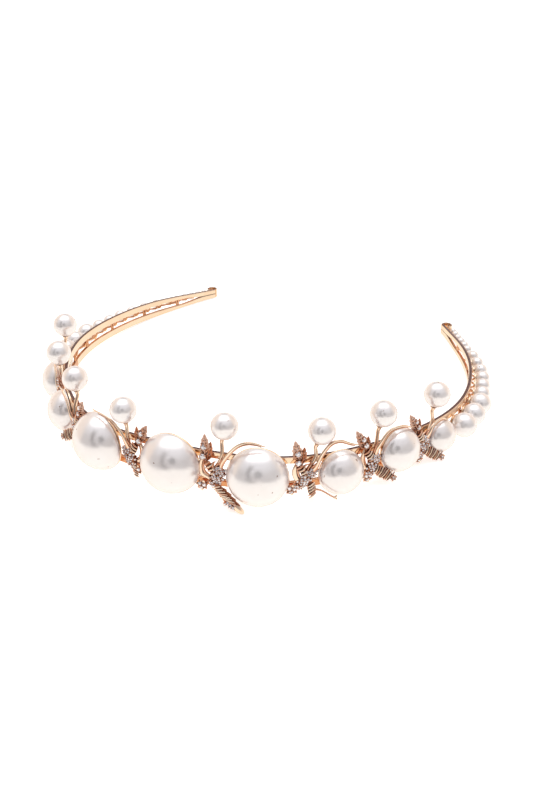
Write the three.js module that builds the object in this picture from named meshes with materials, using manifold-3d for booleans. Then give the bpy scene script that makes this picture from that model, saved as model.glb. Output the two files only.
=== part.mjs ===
// Bridal tiara: two gilt rails sprung into a horseshoe, half-round pearls along the outside and eight
// cast sprigs that each carry one pearl on a stalk. Millimetres, +Z up, the front faces -Y.
//
// Most pieces are laid out in band coordinates and then bent round the head:
//   s = distance along the band from its front, positive towards +X
//   w = distance outwards from the middle of the band's thickness
//   z = height above the band's middle line
import * as THREE from "three";
import { mergeVertices } from "three/addons/utils/BufferGeometryUtils.js";
import Module from "manifold-3d";

// Band plan: the radius at every KNOT_STEP degrees from the front, smoothed through, up to END_ANGLE.
const KNOT_STEP = 25;
const PLAN_RADII = [76.6, 77.5, 73.7, 71.6, 67.9, 66.5, 70.4];
const END_ANGLE = 135.75;

// Band section: half height and slot at the front, and how they shrink towards the tips.
const FRONT_HALF_HEIGHT = 5.85;
const HEIGHT_TAPER = 0.0185;
const TIP_DROP = 1.0;
const TIP_RUN = 32;
const SIDE_SLOT_HALF = 1.15;
const FRONT_SLOT_EXTRA = 2.45;
const SLOT_FADE = 72;
const SLOT_END = 166;
const SLOT_CLOSING = 12;
const BAND_THICKNESS = 1.1;
const RAIL_STEPS = 61;
const GAP = 0.3;
const FINE_GAP = 0.12;
const MESH_TOLERANCE = 0.02;

// How finely round shapes are divided: sides round the axis, and rings from the flat back to the top.
const FRONT_PEARL_SIDES = 20;
const FRONT_PEARL_RINGS = 5;
const FRONT_CUP_SIDES = 16;
const ROW_PEARL_SIDES = 12;
const ROW_PEARL_RINGS = 4;
const SMALL_SIDES = 8;
const SEED_RINGS = 3;
const STALK_PEARL_SIDES = 16;
const MOUND_RINGS = 4;
const WIRE_SIDES = 5;
const STRUT_SIDES = 4;
const ARC_DIVISIONS = 800;

// Folded hook at each tip of the band, as [distance past the tip, outwards] along its middle.
const HOOK_STRIP = 0.6;
const HOOK_HEIGHT = 3.3;
const HOOK_STEPS = 14;
const HOOK_KNOTS = [
  [0, 0], [0.6, 0.5], [0.95, 1.6], [0.55, 2.7], [-0.6, 3.15], [-1.8, 2.9], [-2.2, 2], [-1.9, 1.15],
];

// Half-round pearls of the front, from the left end to the right end. turn is in degrees.
const DOME_BASE = 1.8;
const DOME_HEIGHT_RATIO = 0.92;
const FRONT_PEARLS = [
  { arc: -86.2, diameter: 11, lift: -0.5, turn: 0 },
  { arc: -69.2, diameter: 14, lift: 1.5, turn: 0 },
  { arc: -49.4, diameter: 14, lift: 0.2, turn: 0 },
  { arc: -25.8, diameter: 18.6, lift: 0.4, turn: -4 },
  { arc: 0, diameter: 19, lift: 0.5, turn: -2 },
  { arc: 25.8, diameter: 18.4, lift: 0, turn: 0 },
  { arc: 49.2, diameter: 14, lift: -0.7, turn: 0 },
  { arc: 68.8, diameter: 14, lift: 1.2, turn: 5 },
  { arc: 86.2, diameter: 11, lift: -0.5, turn: 0 },
];
const CUP_THICKNESS = 0.6;

// Graduated pearls that run from the last front pearl to the tip, the same on both sides. reach is
// how far out each one stands.
const ROW_PEARLS = [
  { arc: 95.6, diameter: 7.8, reach: 8.8 },
  { arc: 103.1, diameter: 7.2, reach: 8.4 },
  { arc: 110.4, diameter: 7, reach: 8.3 },
  { arc: 117.1, diameter: 5.3, reach: 7 },
  { arc: 122.8, diameter: 5, reach: 6.7 },
  { arc: 128.5, diameter: 4.9, reach: 6.7 },
  { arc: 134.2, diameter: 4.6, reach: 6.3 },
  { arc: 139.8, diameter: 4.2, reach: 5.8 },
  { arc: 145.3, diameter: 3.8, reach: 5.4 },
];
const SEED_PEARLS = [
  { arc: 150.8, diameter: 3.2, reach: 4.5 },
  { arc: 154.4, diameter: 3.1, reach: 4.4 },
  { arc: 157.9, diameter: 3, reach: 4.3 },
  { arc: 161.2, diameter: 2.85, reach: 4.2 },
  { arc: 164.4, diameter: 2.7, reach: 4.2 },
  { arc: 167.2, diameter: 2.4, reach: 4.2 },
];
// How far behind its centre each of these balls is cut flat, and its cup's size, as shares of its radius.
const ROW_CUT = 0.88;
const ROW_CUP_SHARE = 0.55;
const SEED_BAR_RADIUS = 0.5;
const WIRE_RADIUS = 0.5;
const POST_ARCS = [90.5, 103, 119.5, 137, 153];
const POST_SIZE = 1;

// Ball pearls on stalks, from left to right: arc, outward offset and height of each centre. tilt is
// how far in degrees the drilled hole leans towards the sprig, elbow how far the stalk's bend is out.
const STALK_PEARL_DIAMETER = 8;
const STALK_RADIUS = 0.6;
const STALK_BORE_RADIUS = 0.9;
const STALK_BORE_DEPTH = 2.4;
const STALK_PEARLS = [
  { arc: -85.2, offset: 0.8, height: 14.6, tilt: 20, elbow: 4.2 },
  { arc: -63.7, offset: 1.6, height: 14, tilt: 15, elbow: 1.8 },
  { arc: -42.7, offset: 0, height: 14.1, tilt: 12, elbow: 2.2 },
  { arc: -16.3, offset: 1.1, height: 13.4, tilt: 10, elbow: 1.9 },
  { arc: 16.3, offset: 0.5, height: 14.6, tilt: 10, elbow: 2.6 },
  { arc: 43.8, offset: 1, height: 13.1, tilt: 20, elbow: 3.4 },
  { arc: 63.7, offset: 0.8, height: 14, tilt: 19, elbow: 1.5 },
  { arc: 84.9, offset: 1, height: 13.7, tilt: 20, elbow: 4.2 },
];

// Sprigs, from left to right: where each stands, how far its top leaf leans towards the front, what
// hangs at its foot, and the path of its tendril over the next pearl as [along, height]. Along is
// measured from the sprig, away from the tiara's front.
const SPRIGS = [
  { arc: -78.3, lean: 5, foot: "fan", tendril: [[1.3, 3], [3.1, 5.6], [6.6, 6.3], [9.6, 4.8]] },
  { arc: -59.2, lean: 5, foot: "fan", tendril: [[1.3, 3.6], [3.3, 7.4], [7, 9.8], [11, 9.4]] },
  { arc: -38.4, lean: 4.5, foot: "fan", tendril: [[1.8, 3], [4.4, 7.2], [8, 9], [11.6, 8.2]] },
  { arc: -13, lean: 4.5, foot: "strip", tendril: [[1.4, 4], [3.2, 7.6], [7, 10.4], [13.2, 11.2]] },
  { arc: 13, lean: 1.5, foot: "leaf", tendril: [[3.2, 4], [7, 9.6], [10.2, 11.2], [14.6, 10.6]] },
  { arc: 38.4, lean: 2.5, foot: "wire", tendril: [[2.9, 2.6], [4.8, 7], [8, 9.8], [15.1, 7.8]] },
  { arc: 59.4, lean: 5, foot: "fan", tendril: [[1.2, 5.2], [4.8, 9.3], [9.6, 9.5], [12.8, 8]] },
  { arc: 78.3, lean: 5, foot: "fan", tendril: [[1.3, 3], [3.1, 5.6], [6.6, 6.3], [9.6, 4.8]] },
];
const SPRIG_PLANE = 1.7;
const LEAF_THICKNESS = 0.9;
// Half the outline of a leaf from foot to tip, as [share of its width, share of its length].
const LEAF_OUTLINE = [[0.15, 0], [0.5, 0.4], [0.3, 0.72], [0, 1]];

// Members of one sprig. Points are [along, out of the sprig's plane, height]; a lean is a share of
// the sprig's lean.
const TOP_LEAF = { rootLean: 0.35, root: [0.2, 5.4], tip: [0.9, 12.4], width: 3.4 };
const STEM_RADIUS = 0.55;
const STEM = [
  { lean: 0, height: -4.6 },
  { lean: 0, height: 0 },
  { lean: 0.2, height: 4 },
  { lean: 0.45, height: 7 },
];
const CLUSTER = { middle: [0.3, 0.7, 0], radius: 2.5, rise: 1.7 };
const LOWER_MOUND = { middle: [-1.2, 0.4, -4.2], radius: 1.7, rise: 1 };
const SMALL_LEAF = { foot: [0.6, 0.6, 0.6], tip: [-2.6, 1.5, 3.2], width: 2.4 };
const TENDRIL_RADIUS = 0.45;
const TENDRIL_ROOT = [0.6, 0.6, 1];
const TENDRIL_OUT = 1.6;
const STALK_ROOT = [0.6, 0.4, 1];
const STALK_ELBOW_HEIGHT = 5.2;
const STALK_STRAIGHT = 1.4;
const FEET = {
  fan: { foot: [0.8, 0.9, -2], tip: [5.4, 3.2, -5.6], width: 3.2 },
  leaf: { foot: [0.6, 0.8, -0.8], tip: [9.6, 6, -8.9], width: 3.4 },
  strip: { foot: [-0.4, 0.6, -1.5], tip: [-1.4, 1.2, -7.2], width: 2 },
};
const FOOT_WIRE = { path: [[0.8, 1, -1.6], [3.3, 2, -4], [5.6, 3.2, -5.2], [7.8, 4.6, -6.7]], ball: 0.8 };

const GILT = { color: 0xe3a878, roughness: 0.24, metalness: 1 };
const GILT_CAST = { color: 0xd9996c, roughness: 0.34, metalness: 1 };
const PEARL = { color: 0xf6eee8, roughness: 0.18, metalness: 0 };

const wasm = await Module();
wasm.setup();

// ---------- band coordinates ----------

const knotRadii = [...PLAN_RADII.slice(1).reverse(), ...PLAN_RADII];
const radiusSpline = new THREE.SplineCurve(
  knotRadii.map((radius, i) => new THREE.Vector2((i - PLAN_RADII.length + 1) * KNOT_STEP, radius)),
);
const KNOT_SPAN = (PLAN_RADII.length - 1) * KNOT_STEP;

class BandCurve extends THREE.Curve {
  getPoint(t, target = new THREE.Vector3()) {
    const degrees = (2 * t - 1) * END_ANGLE;
    const radius = radiusSpline.getPoint((degrees + KNOT_SPAN) / (2 * KNOT_SPAN)).y;
    const angle = THREE.MathUtils.degToRad(degrees);
    return target.set(radius * Math.sin(angle), -radius * Math.cos(angle), 0);
  }
}

const band = new BandCurve();
band.arcLengthDivisions = ARC_DIVISIONS;
const HALF_ARC = band.getLength() / 2;

function frameAt(s) {
  const u = THREE.MathUtils.clamp(0.5 + s / (2 * HALF_ARC), 0, 1);
  const tangent = band.getTangentAt(u);
  const past = s - (2 * u - 1) * HALF_ARC;
  const point = band.getPointAt(u).addScaledVector(tangent, past);
  return { point, tangent, outward: new THREE.Vector3(tangent.y, -tangent.x, 0) };
}

function bandPoint(s, w, z) {
  const { point, outward } = frameAt(s);
  return point.addScaledVector(outward, w).setZ(z);
}

function swapCorners(position, a, b) {
  const [x, y, z] = [position.getX(a), position.getY(a), position.getZ(a)];
  position.setXYZ(a, position.getX(b), position.getY(b), position.getZ(b));
  position.setXYZ(b, x, y, z);
}

// Turns every face over. Mirroring a shape turns its faces inwards, and this turns them out again.
function flipFaces(geometry) {
  const position = geometry.getAttribute("position");
  for (let i = 0; i < position.count; i += 3) {
    swapCorners(position, i, i + 1);
  }
  return geometry;
}

// Moves a shape from band coordinates to its place. (s, w, z) is left-handed, so its faces are turned.
function bend(shape) {
  const geometry = shape.index ? shape.toNonIndexed() : shape;
  const position = geometry.getAttribute("position");
  for (let i = 0; i < position.count; i++) {
    const p = bandPoint(position.getX(i), position.getY(i), position.getZ(i));
    position.setXYZ(i, p.x, p.y, p.z);
  }
  return flipFaces(geometry);
}

function halfHeight(s) {
  const fall = TIP_DROP * THREE.MathUtils.smoothstep(Math.abs(s), HALF_ARC - TIP_RUN, HALF_ARC);
  return FRONT_HALF_HEIGHT - HEIGHT_TAPER * Math.abs(s) - fall;
}

function slotHalf(s) {
  const open = SIDE_SLOT_HALF + FRONT_SLOT_EXTRA * Math.exp(-((s / SLOT_FADE) ** 2));
  const closing = THREE.MathUtils.smoothstep(Math.abs(s), SLOT_END - SLOT_CLOSING, SLOT_END);
  return THREE.MathUtils.lerp(open, FINE_GAP / 2, closing);
}

// ---------- joining and cutting ----------

function toSolid(geometry) {
  const bare = geometry.clone();
  bare.deleteAttribute("normal");
  bare.deleteAttribute("uv");
  const merged = mergeVertices(bare, 1e-4);
  return new wasm.Manifold(
    new wasm.Mesh({
      numProp: 3,
      vertProperties: new Float32Array(merged.getAttribute("position").array),
      triVerts: new Uint32Array(merged.getIndex().array),
    }),
  );
}

// The slivers that joining and cutting leave are smoothed away, within MESH_TOLERANCE.
function toGeometry(solid) {
  const mesh = solid.simplify(MESH_TOLERANCE).getMesh();
  const geometry = new THREE.BufferGeometry();
  geometry.setAttribute("position", new THREE.BufferAttribute(mesh.vertProperties, 3));
  geometry.setIndex(new THREE.BufferAttribute(mesh.triVerts, 1));
  geometry.computeVertexNormals();
  return geometry;
}

function join(geometries) {
  return geometries.map(toSolid).reduce((whole, piece) => whole.add(piece));
}

// ---------- shapes ----------

function regularSection(radius, sides) {
  const corners = [];
  for (let i = 0; i < sides; i++) {
    const angle = (2 * Math.PI * i) / sides;
    corners.push(new THREE.Vector2(radius * Math.cos(angle), radius * Math.sin(angle)));
  }
  return new THREE.Shape(corners);
}

// A round wire through points in band coordinates.
function wire(points, radius, steps, sides = WIRE_SIDES) {
  const path = new THREE.CatmullRomCurve3(points.map((p) => new THREE.Vector3(...p)));
  const section = regularSection(radius, sides);
  return new THREE.ExtrudeGeometry(section, { steps, bevelEnabled: false, extrudePath: path });
}

// A straight square wire between two points in band coordinates.
function strut(from, to) {
  const path = new THREE.LineCurve3(new THREE.Vector3(...from), new THREE.Vector3(...to));
  const section = regularSection(WIRE_RADIUS, STRUT_SIDES);
  return new THREE.ExtrudeGeometry(section, { steps: 1, bevelEnabled: false, extrudePath: path });
}

// A pointed leaf from foot to tip, in band coordinates, with its face turned outwards.
function leaf(foot, tip, width) {
  const start = new THREE.Vector3(...foot);
  const along = new THREE.Vector3(...tip).sub(start);
  const length = along.length();
  const corner = (hand, [wide, far]) => new THREE.Vector2(hand * wide * width, far * length);
  const edge = (hand) => LEAF_OUTLINE.map((place) => corner(hand, place));
  const outline = new THREE.Shape([...edge(-1), ...edge(1).reverse().slice(1)]);
  const geometry = new THREE.ExtrudeGeometry(outline, { depth: LEAF_THICKNESS, bevelEnabled: false });
  geometry.translate(0, 0, -LEAF_THICKNESS / 2);
  const up = along.normalize();
  const face = new THREE.Vector3(0, 1, 0).addScaledVector(up, -up.y).normalize();
  const across = new THREE.Vector3().crossVectors(up, face);
  geometry.applyMatrix4(new THREE.Matrix4().makeBasis(across, up, face).setPosition(start));
  return geometry;
}

// A low round mound standing out from the band.
function mound(s, w, z, radius, height) {
  const geometry = new THREE.SphereGeometry(radius, SMALL_SIDES, MOUND_RINGS);
  geometry.scale(1, height / radius, 1);
  geometry.translate(s, w, z);
  return geometry;
}

// A ball cut flat behind its centre, its axis along +Z and its flat face at zero.
function cutBallProfile(radius, cut, heightRatio, rings) {
  const start = Math.asin(-cut);
  const profile = [new THREE.Vector2(0, 0)];
  for (let i = 0; i <= rings; i++) {
    const angle = start + ((Math.PI / 2 - start) * i) / rings;
    const height = radius * heightRatio * (Math.sin(angle) + cut);
    profile.push(new THREE.Vector2(i === rings ? 0 : radius * Math.cos(angle), height));
  }
  return profile;
}

function disc(radius, thickness, sides) {
  const geometry = new THREE.CylinderGeometry(radius, radius, thickness, sides);
  geometry.rotateX(Math.PI / 2);
  geometry.translate(0, 0, thickness / 2);
  return geometry;
}

// Turns a shape whose axis is +Z so that it faces outwards at s, and moves it to w and z.
function faceOut(geometry, s, w, z, turn = 0) {
  const { tangent, outward } = frameAt(s);
  const up = new THREE.Vector3(0, 0, 1);
  const basis = new THREE.Matrix4().makeBasis(tangent, up, outward);
  const place = bandPoint(s, w, z);
  geometry.rotateY(THREE.MathUtils.degToRad(turn));
  geometry.applyMatrix4(basis);
  geometry.translate(place.x, place.y, place.z);
  return geometry;
}

// ---------- sub-parts ----------

// One rail: a long box bent round the band, with its two edges moved to their heights.
function rail(side) {
  const length = 2 * (HALF_ARC - HOOK_STRIP);
  const geometry = new THREE.BoxGeometry(length, BAND_THICKNESS, 1, RAIL_STEPS, 1, 1);
  const position = geometry.getAttribute("position");
  for (let i = 0; i < position.count; i++) {
    const s = position.getX(i);
    const outerEdge = position.getZ(i) * side > 0;
    position.setZ(i, side * (outerEdge ? halfHeight(s) : slotHalf(s)));
  }
  return bend(geometry);
}

function frontPearl(pearl, grow = 0) {
  const radius = pearl.diameter / 2 + grow;
  const profile = cutBallProfile(radius, 0, DOME_HEIGHT_RATIO, FRONT_PEARL_RINGS);
  const dome = new THREE.LatheGeometry(profile, FRONT_PEARL_SIDES);
  dome.rotateX(Math.PI / 2);
  return faceOut(dome, pearl.arc, DOME_BASE - grow, pearl.lift, pearl.turn);
}

function frontCup(pearl) {
  const geometry = disc(pearl.diameter / 2 - GAP, CUP_THICKNESS, FRONT_CUP_SIDES);
  return faceOut(geometry, pearl.arc, DOME_BASE - GAP - CUP_THICKNESS, pearl.lift, pearl.turn);
}

// Where the flat back of a row pearl is.
function rowBack(pearl) {
  const radius = pearl.diameter / 2;
  return pearl.reach - radius - ROW_CUT * radius;
}

function rowPearl(pearl, side, segments, rings) {
  const ball = new THREE.LatheGeometry(cutBallProfile(pearl.diameter / 2, ROW_CUT, 1, rings), segments);
  ball.rotateX(Math.PI / 2);
  return faceOut(ball, side * pearl.arc, rowBack(pearl), 0);
}

function rowCup(pearl, side) {
  const geometry = disc((ROW_CUP_SHARE * pearl.diameter) / 2, CUP_THICKNESS, SMALL_SIDES);
  return faceOut(geometry, side * pearl.arc, rowBack(pearl) - FINE_GAP - CUP_THICKNESS, 0);
}

// The seed pearls of one side share a bar that runs through them.
function seedStrip(side) {
  const balls = SEED_PEARLS.map((pearl) => rowPearl(pearl, side, SMALL_SIDES, SEED_RINGS));
  const middles = SEED_PEARLS.map((pearl) => [side * pearl.arc, pearl.reach - pearl.diameter / 2, 0]);
  const bar = bend(wire(middles, SEED_BAR_RADIUS, middles.length, STRUT_SIDES));
  return toGeometry(join([...balls, bar]));
}

// The gallery of one side: the cups behind the row pearls, a zigzag wire from cup to cup that dips
// into the slot between the rails, and the posts that stand in the slot.
function gallery(side) {
  const wires = [];
  const cupMiddle = (pearl) => rowBack(pearl) - FINE_GAP - CUP_THICKNESS / 2;
  const behind = ROW_PEARLS.map((pearl) => [side * pearl.arc, cupMiddle(pearl), 0]);
  behind.slice(1).forEach((point, i) => {
    const dip = [(behind[i][0] + point[0]) / 2, 0, 0];
    wires.push(strut(behind[i], dip), strut(dip, point));
  });
  for (const arc of POST_ARCS) {
    const gapTo = (point) => Math.abs(Math.abs(point[0]) - arc);
    const nearest = behind.reduce((best, point) => (gapTo(point) < gapTo(best) ? point : best));
    const height = 2 * (slotHalf(arc) - FINE_GAP);
    const post = new THREE.BoxGeometry(POST_SIZE, POST_SIZE, height).translate(side * arc, 0, 0);
    wires.push(post, strut([side * arc, 0, 0], nearest));
  }
  const cups = ROW_PEARLS.map((pearl) => rowCup(pearl, side));
  return toGeometry(join([...cups, ...wires.map(bend)]));
}

// The point on a stalk pearl's drilled hole at a distance from its centre, in band coordinates.
function onHole(pearl, distance) {
  const tilt = THREE.MathUtils.degToRad(pearl.tilt);
  const inwards = Math.sign(pearl.arc) * Math.sin(tilt) * distance;
  return [pearl.arc - inwards, pearl.offset, pearl.height - Math.cos(tilt) * distance];
}

function stalkPearl(pearl) {
  const radius = STALK_PEARL_DIAMETER / 2;
  const ball = new THREE.SphereGeometry(radius, STALK_PEARL_SIDES, STALK_PEARL_SIDES / 2);
  ball.rotateX(Math.PI / 2);
  const bore = disc(STALK_BORE_RADIUS, 2 * STALK_BORE_DEPTH, SMALL_SIDES);
  bore.translate(0, 0, -radius - STALK_BORE_DEPTH);
  const centre = bandPoint(pearl.arc, pearl.offset, pearl.height);
  const down = bandPoint(...onHole(pearl, radius)).sub(centre).normalize();
  const turn = new THREE.Quaternion().setFromUnitVectors(new THREE.Vector3(0, 0, -1), down);
  const drilled = toGeometry(toSolid(ball).subtract(toSolid(bore)));
  return drilled.applyQuaternion(turn).translate(centre.x, centre.y, centre.z);
}

// One cast sprig: a pointed leaf over a stem, a jewelled mound, small leaves at its foot, a tendril
// that curls over the next front pearl, and the stalk that carries a ball pearl.
function sprig(entry, stalk) {
  const away = Math.sign(entry.arc);
  const at = ([along, out, height]) => [entry.arc + away * along, SPRIG_PLANE + out, height];
  const placedLeaf = (shape) => leaf(at(shape.foot), at(shape.tip), shape.width);
  const placedMound = (shape) => mound(...at(shape.middle), shape.radius, shape.rise);
  const topLeaf = {
    foot: [-TOP_LEAF.rootLean * entry.lean, ...TOP_LEAF.root],
    tip: [-entry.lean, ...TOP_LEAF.tip],
    width: TOP_LEAF.width,
  };
  const stem = STEM.map((knot) => at([-knot.lean * entry.lean, 0, knot.height]));
  const tendril = [TENDRIL_ROOT, ...entry.tendril.map(([along, height]) => [along, TENDRIL_OUT, height])];
  const radius = STALK_PEARL_DIAMETER / 2;
  const stalkPath = [
    at(STALK_ROOT),
    at([stalk.elbow, 0, STALK_ELBOW_HEIGHT]),
    onHole(stalk, radius + STALK_STRAIGHT),
    onHole(stalk, radius),
    onHole(stalk, radius - STALK_BORE_DEPTH + GAP),
  ];
  const pieces = [
    placedLeaf(topLeaf),
    wire(stem, STEM_RADIUS, 4),
    placedMound(CLUSTER),
    placedMound(LOWER_MOUND),
    placedLeaf(SMALL_LEAF),
    wire(tendril.map(at), TENDRIL_RADIUS, 10),
    wire(stalkPath, STALK_RADIUS, 7),
  ];
  if (entry.foot === "wire") {
    const tip = at(FOOT_WIRE.path.at(-1));
    pieces.push(wire(FOOT_WIRE.path.map(at), TENDRIL_RADIUS, 7));
    pieces.push(mound(...tip, FOOT_WIRE.ball, FOOT_WIRE.ball));
  } else {
    pieces.push(placedLeaf(FEET[entry.foot]));
  }
  return join(pieces.map(bend));
}

// The folded end of the band: the strip turns outwards past the tip and comes back as a hook.
function endHook(side) {
  const tip = HALF_ARC - HOOK_STRIP + GAP;
  const knots = HOOK_KNOTS.map(([past, out]) => new THREE.Vector2(tip + past, out));
  const line = new THREE.SplineCurve(knots).getPoints(HOOK_STEPS);
  const edge = (offset) =>
    line.map((point, i) => {
      const before = line[Math.max(i - 1, 0)];
      const after = line[Math.min(i + 1, line.length - 1)];
      const along = after.clone().sub(before).normalize();
      return new THREE.Vector2(point.x - along.y * offset, point.y + along.x * offset);
    });
  const outline = [...edge(HOOK_STRIP / 2), ...edge(-HOOK_STRIP / 2).reverse()];
  const shape = new THREE.Shape(outline);
  const geometry = new THREE.ExtrudeGeometry(shape, { depth: HOOK_HEIGHT, bevelEnabled: false });
  geometry.translate(0, 0, -HOOK_HEIGHT / 2);
  if (side < 0) {
    geometry.scale(-1, 1, 1);
    flipFaces(geometry);
  }
  return bend(geometry);
}

// ---------- assembly ----------

const tiara = new THREE.Group();

function addPart(name, geometry, look) {
  const mesh = new THREE.Mesh(geometry, new THREE.MeshStandardMaterial(look));
  mesh.name = name;
  tiara.add(mesh);
}

addPart("upper_rail", rail(1), GILT);
addPart("lower_rail", rail(-1), GILT);

FRONT_PEARLS.forEach((pearl, i) => {
  addPart(`front_pearl_${i + 1}`, frontPearl(pearl), PEARL);
  addPart(`front_cup_${i + 1}`, frontCup(pearl), GILT);
});

STALK_PEARLS.forEach((stalk, i) => {
  const clearance = FRONT_PEARLS.slice(i, i + 2).map((pearl) => toSolid(frontPearl(pearl, GAP)));
  const casting = clearance.reduce((body, dome) => body.subtract(dome), sprig(SPRIGS[i], stalk));
  addPart(`sprig_${i + 1}`, toGeometry(casting), GILT_CAST);
  addPart(`stalk_pearl_${i + 1}`, stalkPearl(stalk), PEARL);
});

for (const [sideName, side] of [["left", -1], ["right", 1]]) {
  ROW_PEARLS.forEach((pearl, i) => {
    const geometry = rowPearl(pearl, side, ROW_PEARL_SIDES, ROW_PEARL_RINGS);
    addPart(`${sideName}_row_pearl_${i + 1}`, geometry, PEARL);
  });
  addPart(`${sideName}_seed_pearls`, seedStrip(side), PEARL);
  addPart(`${sideName}_gallery`, gallery(side), GILT);
  addPart(`${sideName}_end_loop`, endHook(side), GILT);
}

// At rest the tiara leans back a little, on its lowest front pearl and on its two tips.
const footPearl = FRONT_PEARLS[5];
const footDepth = bandPoint(footPearl.arc, DOME_BASE, 0).y;
const footHeight = footPearl.lift - footPearl.diameter / 2;
let restPitch = Infinity;
for (let s = HALF_ARC / 2; s <= HALF_ARC; s++) {
  const rear = bandPoint(s, 0, -halfHeight(s));
  restPitch = Math.min(restPitch, Math.atan2(rear.z - footHeight, rear.y - footDepth));
}
tiara.rotation.x = -restPitch;
tiara.updateMatrixWorld(true);

// The origin is under the middle of the tiara's box, on the surface it stands on.
const box = new THREE.Box3().setFromObject(tiara, true);
const middle = box.getCenter(new THREE.Vector3());
tiara.position.set(-middle.x, -middle.y, -box.min.z);
tiara.updateMatrixWorld(true);

export default tiara;
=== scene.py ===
# Bridal tiara: the fine shapes, finishes and light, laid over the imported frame.
# Shapes are worked out in millimetres in band coordinates, as the CAD does:
#   s = distance along the band from its front, w = distance outwards, z = height above its middle line
# and go to the frame's metres at the very end.
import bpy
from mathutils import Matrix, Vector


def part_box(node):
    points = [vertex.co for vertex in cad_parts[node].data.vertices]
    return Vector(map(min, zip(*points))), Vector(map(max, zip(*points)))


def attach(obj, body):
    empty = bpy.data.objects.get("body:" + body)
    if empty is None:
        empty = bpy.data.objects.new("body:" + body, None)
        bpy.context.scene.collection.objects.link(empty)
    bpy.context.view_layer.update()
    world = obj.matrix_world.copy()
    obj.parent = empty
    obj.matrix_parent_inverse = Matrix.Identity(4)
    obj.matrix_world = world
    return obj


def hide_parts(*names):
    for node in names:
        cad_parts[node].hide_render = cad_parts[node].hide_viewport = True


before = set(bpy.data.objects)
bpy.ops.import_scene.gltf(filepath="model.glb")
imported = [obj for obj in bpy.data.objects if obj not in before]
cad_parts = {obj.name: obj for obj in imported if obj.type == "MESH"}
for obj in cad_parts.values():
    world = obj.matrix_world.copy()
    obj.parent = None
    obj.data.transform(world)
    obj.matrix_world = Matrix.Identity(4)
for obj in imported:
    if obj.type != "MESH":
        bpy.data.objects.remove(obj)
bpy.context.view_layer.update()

from math import acos, asin, copysign, cos, pi, radians, sin, sqrt, tan

import bmesh
import bpy
import numpy as np

# ---------- driving values, the same as the CAD's ----------

KNOT_STEP = 25.0
PLAN_RADII = [76.6, 77.5, 73.7, 71.6, 67.9, 66.5, 70.4]
END_ANGLE = 135.75
FRONT_HALF_HEIGHT = 5.85
HEIGHT_TAPER = 0.0185
TIP_DROP = 1.0
TIP_RUN = 32.0
SIDE_SLOT_HALF = 1.15
FRONT_SLOT_EXTRA = 2.45
SLOT_FADE = 72.0
SLOT_END = 166.0
SLOT_CLOSING = 12.0
BAND_HALF = 0.55
CAD_RAIL_STEPS = 61
RAIL_STEPS = 421
ARC_DIVISIONS = 800
GAP = 0.3
FINE_GAP = 0.12
HOOK_STRIP = 0.6
HOOK_HEIGHT = 3.3
# distance past the rail's end, outwards
HOOK_KNOTS = [
    (0, 0), (0.6, 0.5), (0.95, 1.6), (0.55, 2.7), (-0.6, 3.15), (-1.8, 2.9), (-2.2, 2), (-1.9, 1.15),
]

DOME_BASE = 1.8
DOME_HEIGHT_RATIO = 0.92
CUP_THICKNESS = 0.6
# arc, diameter, lift, turn in degrees
FRONT_PEARLS = [
    (-86.2, 11, -0.5, 0), (-69.2, 14, 1.5, 0), (-49.4, 14, 0.2, 0),
    (-25.8, 18.6, 0.4, -4), (0, 19, 0.5, -2), (25.8, 18.4, 0, 0),
    (49.2, 14, -0.7, 0), (68.8, 14, 1.2, 5), (86.2, 11, -0.5, 0),
]
# arc, diameter, reach
ROW_PEARLS = [
    (95.6, 7.8, 8.8), (103.1, 7.2, 8.4), (110.4, 7, 8.3), (117.1, 5.3, 7), (122.8, 5, 6.7),
    (128.5, 4.9, 6.7), (134.2, 4.6, 6.3), (139.8, 4.2, 5.8), (145.3, 3.8, 5.4),
]
SEED_PEARLS = [
    (150.8, 3.2, 4.5), (154.4, 3.1, 4.4), (157.9, 3, 4.3), (161.2, 2.85, 4.2), (164.4, 2.7, 4.2),
    (167.2, 2.4, 4.2),
]
ROW_CUT = 0.88
ROW_CUP_SHARE = 0.55
POST_ARCS = [90.5, 103, 119.5, 137, 153]

STALK_PEARL_RADIUS = 4.0
STALK_BORE_RADIUS = 0.9
STALK_BORE_DEPTH = 2.4
# arc, outward offset, height, tilt of the hole in degrees, how far out the stalk bends
STALK_PEARLS = [
    (-85.2, 0.8, 14.6, 20, 4.2), (-63.7, 1.6, 14, 15, 1.8), (-42.7, 0, 14.1, 12, 2.2),
    (-16.3, 1.1, 13.4, 10, 1.9), (16.3, 0.5, 14.6, 10, 2.6), (43.8, 1, 13.1, 20, 3.4),
    (63.7, 0.8, 14, 19, 1.5), (84.9, 1, 13.7, 20, 4.2),
]
# arc, what hangs at the foot, the tendril's path [along, height]
SPRIGS = [
    (-78.3, "fan", [(1.3, 3), (3.1, 5.6), (6.6, 6.3), (9.6, 4.8)]),
    (-59.2, "fan", [(1.3, 3.6), (3.3, 7.4), (7, 9.8), (11, 9.4)]),
    (-38.4, "fan", [(1.8, 3), (4.4, 7.2), (8, 9), (11.6, 8.2)]),
    (-13, "strip", [(1.4, 4), (3.2, 7.6), (7, 10.4), (13.2, 11.2)]),
    (13, "leaf", [(3.4, 4.5), (5.2, 7.6), (7.6, 10.3), (10.2, 11.5), (12.7, 11.3), (14.5, 10.5)]),
    (38.4, "wire", [(3.2, 3), (4.8, 6.8), (7.3, 9.9), (10, 10.3), (12.9, 8.8), (15.1, 7.8)]),
    (59.4, "fan", [(1.2, 5.2), (4.8, 9.3), (9.6, 9.5), (12.8, 8)]),
    (78.3, "fan", [(1.3, 3), (3.1, 5.6), (6.6, 6.3), (9.6, 4.8)]),
]
SPRIG_PLANE = 1.7
TENDRIL_OUT = 1.6
STALK_ELBOW_HEIGHT = 5.2
STALK_STRAIGHT = 1.4

# ---------- the band ----------


def floats(values):
    return np.asarray(values, float)


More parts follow.
